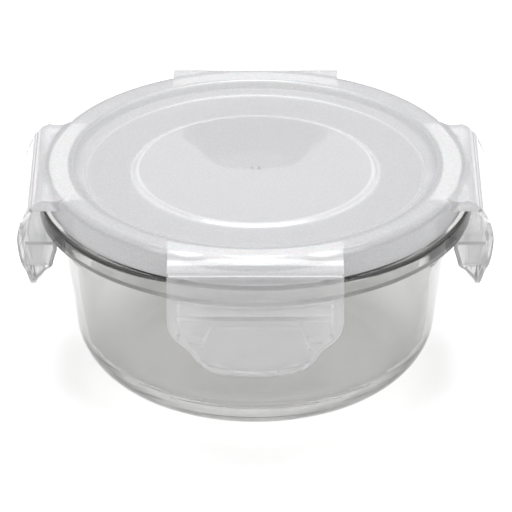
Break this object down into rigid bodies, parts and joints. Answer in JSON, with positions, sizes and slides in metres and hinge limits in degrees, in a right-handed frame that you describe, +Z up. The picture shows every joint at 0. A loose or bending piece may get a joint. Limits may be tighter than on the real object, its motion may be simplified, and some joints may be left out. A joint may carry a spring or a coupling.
{
  "type": "glass storage container",
  "caption": "Round glass food bowl with a rim flange, recessed snap lid, sealing ring and living-hinge side latches that swing up to free the lid.",
  "frame": {"origin": "centre of the bowl's flat foot", "axes": "+Z up along the bowl's axis, -Y towards the front latch, +X to the right latch"},
  "size_m": [0.1616, 0.1616, 0.0764],
  "materials": {
    "glass": "clear tempered glass, faint grey-green in thick places",
    "lid_plastic": "milky translucent polypropylene, fine matt panel around a clearer centre disc",
    "latch_plastic": "milky translucent polypropylene, smoother than the lid",
    "silicone": "soft white translucent silicone"
  },
  "bodies": {
    "bowl": {"glass_bowl": "glass"},
    "lid": {"lid": "lid_plastic", "gasket": "silicone", "front_hinge_web": "lid_plastic", "right_hinge_web": "lid_plastic", "back_hinge_web": "lid_plastic", "left_hinge_web": "lid_plastic"},
    "front_latch": {"front_latch": "latch_plastic"},
    "right_latch": {"right_latch": "latch_plastic"},
    "back_latch": {"back_latch": "latch_plastic"},
    "left_latch": {"left_latch": "latch_plastic"}
  },
  "joints": [
    {"name": "lid_lift", "type": "slide", "parent": "bowl", "child": "lid", "axis": [0, 0, 1], "range_m": [0, 0.08]},
    {"name": "front_latch_hinge", "type": "hinge", "parent": "lid", "child": "front_latch", "pos_m": [0, -0.0763, 0.0722], "axis": [-1, 0, 0], "range_deg": [-6, 150]},
    {"name": "right_latch_hinge", "type": "hinge", "parent": "lid", "child": "right_latch", "pos_m": [0.0763, 0, 0.0722], "axis": [0, -1, 0], "range_deg": [-6, 150]},
    {"name": "back_latch_hinge", "type": "hinge", "parent": "lid", "child": "back_latch", "pos_m": [0, 0.0763, 0.0722], "axis": [1, 0, 0], "range_deg": [-6, 150]},
    {"name": "left_latch_hinge", "type": "hinge", "parent": "lid", "child": "left_latch", "pos_m": [-0.0763, 0, 0.0722], "axis": [0, 1, 0], "range_deg": [-6, 150]}
  ]
}
